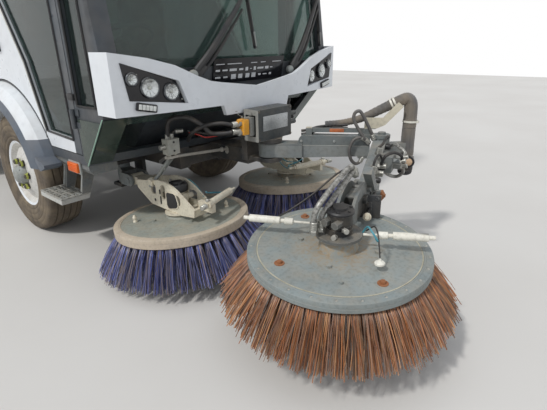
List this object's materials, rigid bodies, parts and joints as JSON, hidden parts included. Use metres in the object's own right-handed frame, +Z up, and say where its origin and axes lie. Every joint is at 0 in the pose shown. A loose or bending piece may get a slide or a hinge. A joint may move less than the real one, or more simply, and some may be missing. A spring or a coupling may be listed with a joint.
{
  "type": "compact street sweeper",
  "caption": "Compact street sweeper with a glazed cab, channel brushes under the nose, a slewing front brush and a tipping hopper.",
  "frame": {"origin": "on the ground at the middle of the overall box", "axes": "+Z up, the front faces -Y, +X is the machine's own left side"},
  "size_m": [2.06, 5.3129, 2.37],
  "materials": {
    "white_paint": "gloss",
    "dark_grey_paint": "satin",
    "grey_paint": "satin",
    "light_grey_paint": "satin",
    "wheel_paint": "satin",
    "black_plastic": "matte",
    "clear_lens": "gloss",
    "amber_lens": "gloss",
    "red_lens": "gloss",
    "tinted_glass": "gloss",
    "tyre_rubber": "matte",
    "hose_rubber": "matte",
    "seat_fabric": "matte",
    "blue_black_tines": "satin",
    "brown_tines": "satin",
    "galvanised_steel": "satin",
    "polished_rod": "polished",
    "cast_engine": "matte"
  },
  "bodies": {
    "chassis": {"chassis_frame": "dark_grey_paint", "front_axle": "dark_grey_paint", "rear_axle": "dark_grey_paint", "cab_shell": "dark_grey_paint", "cab_roof": "white_paint", "windscreen": "tinted_glass", "side_glass": "tinted_glass", "front_panel": "white_paint", "lamp_housings": "black_plastic", "headlamps": "clear_lens", "fender_l": "black_plastic", "fender_r": "black_plastic", "side_step_l": "galvanised_steel", "side_step_r": "galvanised_steel", "seats": "seat_fabric", "dashboard": "black_plastic", "steering_column": "black_plastic", "front_box": "dark_grey_paint", "engine_block": "cast_engine", "engine_cover": "white_paint", "engine_grilles": "black_plastic", "suction_duct": "dark_grey_paint", "mirrors": "black_plastic", "wipers": "black_plastic", "beacon": "amber_lens", "rear_lamps": "red_lens"},
    "boom_arm": {"boom": "grey_paint", "boom_hoses": "hose_rubber"},
    "jib_arm": {"jib": "grey_paint"},
    "third_carrier": {"third_head": "dark_grey_paint", "head_hoses": "hose_rubber"},
    "third_brush": {"third_plate": "light_grey_paint", "third_bristles": "brown_tines"},
    "hopper_body": {"hopper": "white_paint", "hopper_tub": "white_paint"},
    "rear_door": {"hopper_door": "white_paint"},
    "tip_cylinder": {"tip_barrel": "dark_grey_paint"},
    "tip_piston": {"tip_rod": "polished_rod"},
    "knuckle_l": {"knuckle_l": "dark_grey_paint"},
    "wheel_front_l": {"tyre_front_l": "tyre_rubber", "rim_front_l": "wheel_paint"},
    "wheel_rear_l": {"tyre_rear_l": "tyre_rubber", "rim_rear_l": "wheel_paint"},
    "cab_door_l": {"door_l": "white_paint", "door_glass_l": "tinted_glass"},
    "channel_arm_l": {"channel_arm_l": "dark_grey_paint"},
    "channel_carrier_l": {"channel_head_l": "dark_grey_paint"},
    "channel_brush_l": {"channel_plate_l": "light_grey_paint", "channel_bristles_l": "blue_black_tines"},
    "knuckle_r": {"knuckle_r": "dark_grey_paint"},
    "wheel_front_r": {"tyre_front_r": "tyre_rubber", "rim_front_r": "wheel_paint"},
    "wheel_rear_r": {"tyre_rear_r": "tyre_rubber", "rim_rear_r": "wheel_paint"},
    "cab_door_r": {"door_r": "white_paint", "door_glass_r": "tinted_glass"},
    "channel_arm_r": {"channel_arm_r": "dark_grey_paint"},
    "channel_carrier_r": {"channel_head_r": "dark_grey_paint"},
    "channel_brush_r": {"channel_plate_r": "light_grey_paint", "channel_bristles_r": "blue_black_tines"}
  },
  "joints": [
    {"name": "steer_l", "type": "hinge", "parent": "chassis", "child": "knuckle_l", "pos_m": [0.59, -0.105, 0.372], "axis": [0, 0, 1], "range_deg": [-28, 28]},
    {"name": "wheel_front_l_spin", "type": "hinge", "parent": "knuckle_l", "child": "wheel_front_l", "pos_m": [0.708, -0.105, 0.372], "axis": [1, 0, 0], "continuous": true},
    {"name": "wheel_rear_l_spin", "type": "hinge", "parent": "chassis", "child": "wheel_rear_l", "pos_m": [0.708, 1.845, 0.372], "axis": [1, 0, 0], "continuous": true},
    {"name": "door_l_swing", "type": "hinge", "parent": "chassis", "child": "cab_door_l", "pos_m": [0.814, -0.965, 1.3], "axis": [0, 0, -1], "range_deg": [0, 70]},
    {"name": "channel_swing_l", "type": "hinge", "parent": "chassis", "child": "channel_arm_l", "pos_m": [0.43, -0.665, 0.4], "axis": [0, 0, -1], "range_deg": [-25, 0]},
    {"name": "channel_lift_l", "type": "hinge", "parent": "channel_arm_l", "child": "channel_carrier_l", "pos_m": [0.459, -0.85, 0.4], "axis": [-1, 0, 0], "range_deg": [0, 12]},
    {"name": "channel_spin_l", "type": "hinge", "parent": "channel_carrier_l", "child": "channel_brush_l", "pos_m": [0.459, -1.245, 0.276], "axis": [0.0191, 0.0868, 0.996], "continuous": true},
    {"name": "steer_r", "type": "hinge", "parent": "chassis", "child": "knuckle_r", "pos_m": [-0.59, -0.105, 0.372], "axis": [0, 0, 1], "range_deg": [-28, 28]},
    {"name": "wheel_front_r_spin", "type": "hinge", "parent": "knuckle_r", "child": "wheel_front_r", "pos_m": [-0.708, -0.105, 0.372], "axis": [1, 0, 0], "continuous": true},
    {"name": "wheel_rear_r_spin", "type": "hinge", "parent": "chassis", "child": "wheel_rear_r", "pos_m": [-0.708, 1.845, 0.372], "axis": [1, 0, 0], "continuous": true},
    {"name": "door_r_swing", "type": "hinge", "parent": "chassis", "child": "cab_door_r", "pos_m": [-0.814, -0.965, 1.3], "axis": [0, 0, 1], "range_deg": [0, 70]},
    {"name": "channel_swing_r", "type": "hinge", "parent": "chassis", "child": "channel_arm_r", "pos_m": [-0.43, -0.665, 0.4], "axis": [0, 0, 1], "range_deg": [-25, 0]},
    {"name": "channel_lift_r", "type": "hinge", "parent": "channel_arm_r", "child": "channel_carrier_r", "pos_m": [-0.459, -0.85, 0.4], "axis": [-1, 0, 0], "range_deg": [0, 12]},
    {"name": "channel_spin_r", "type": "hinge", "parent": "channel_carrier_r", "child": "channel_brush_r", "pos_m": [-0.459, -1.245, 0.276], "axis": [-0.0191, 0.0868, 0.996], "continuous": true},
    {"name": "boom_slew", "type": "hinge", "parent": "chassis", "child": "boom_arm", "pos_m": [0, -1.47, 0.6], "axis": [0, 0, 1], "range_deg": [0, 45]},
    {"name": "jib_slew", "type": "hinge", "parent": "boom_arm", "child": "jib_arm", "pos_m": [0.33, -1.968, 0.6], "axis": [0, 0, 1], "range_deg": [0, 70]},
    {"name": "third_lift", "type": "hinge", "parent": "jib_arm", "child": "third_carrier", "pos_m": [-0.05249, -2.08505, 0.467], "axis": [-0.2926, 0.9562, 0], "range_deg": [0, 15]},
    {"name": "third_spin", "type": "hinge", "parent": "third_carrier", "child": "third_brush", "pos_m": [-0.451, -2.207, 0.388], "axis": [-0.0574, -0.047, 0.9972], "continuous": true},
    {"name": "hopper_tip", "type": "hinge", "parent": "chassis", "child": "hopper_body", "pos_m": [0, 2.375, 0.625], "axis": [-1, 0, 0], "range_deg": [0, 45]},
    {"name": "rear_door_swing", "type": "hinge", "parent": "hopper_body", "child": "rear_door", "pos_m": [0, 2.545, 2.21], "axis": [1, 0, 0], "range_deg": [0, 80]},
    {"name": "tip_cylinder_swing", "type": "hinge", "parent": "chassis", "child": "tip_cylinder", "pos_m": [0, 1.295, 0.48], "axis": [1, 0, 0], "range_deg": [0, 25.2]},
    {"name": "tip_piston_slide", "type": "slide", "parent": "tip_cylinder", "child": "tip_piston", "axis": [0, 0.9678, 0.2516], "range_m": [0, 0.34]}
  ],
  "couplings": [
    {"joint": "steer_r", "follows": "steer_l", "ratio": 1},
    {"joint": "tip_cylinder_swing", "follows": "hopper_tip", "ratio": 0.5567},
    {"joint": "tip_piston_slide", "follows": "hopper_tip", "m_per_rad": 0.431}
  ]
}
